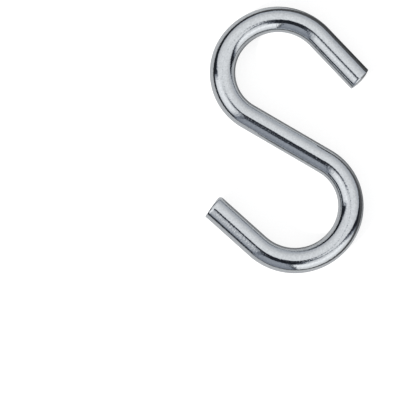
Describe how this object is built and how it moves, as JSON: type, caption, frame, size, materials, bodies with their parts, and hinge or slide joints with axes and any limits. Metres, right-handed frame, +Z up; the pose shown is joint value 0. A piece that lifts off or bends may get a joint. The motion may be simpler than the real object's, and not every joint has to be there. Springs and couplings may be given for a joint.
{
  "type": "s hook",
  "caption": "Open S-shaped hook bent from round plated steel wire, for hanging or linking rings, chains, cords and rods.",
  "frame": {"origin": "middle of the footprint of the hook as it lies on its side, on the surface that it lies on", "axes": "+Y along the line of pull, through the crowns of both bends, towards the upper bend; +X to the side that the upper bend opens to; +Z up, square to the plane of the bent wire"},
  "size_m": [0.0426, 0.063, 0.006],
  "materials": {
    "zinc_plated_wire": "bright zinc plating on drawn steel wire, glossy with a fine mottle"
  },
  "bodies": {
    "root": {"s_hook": "zinc_plated_wire"}
  },
  "joints": []
}
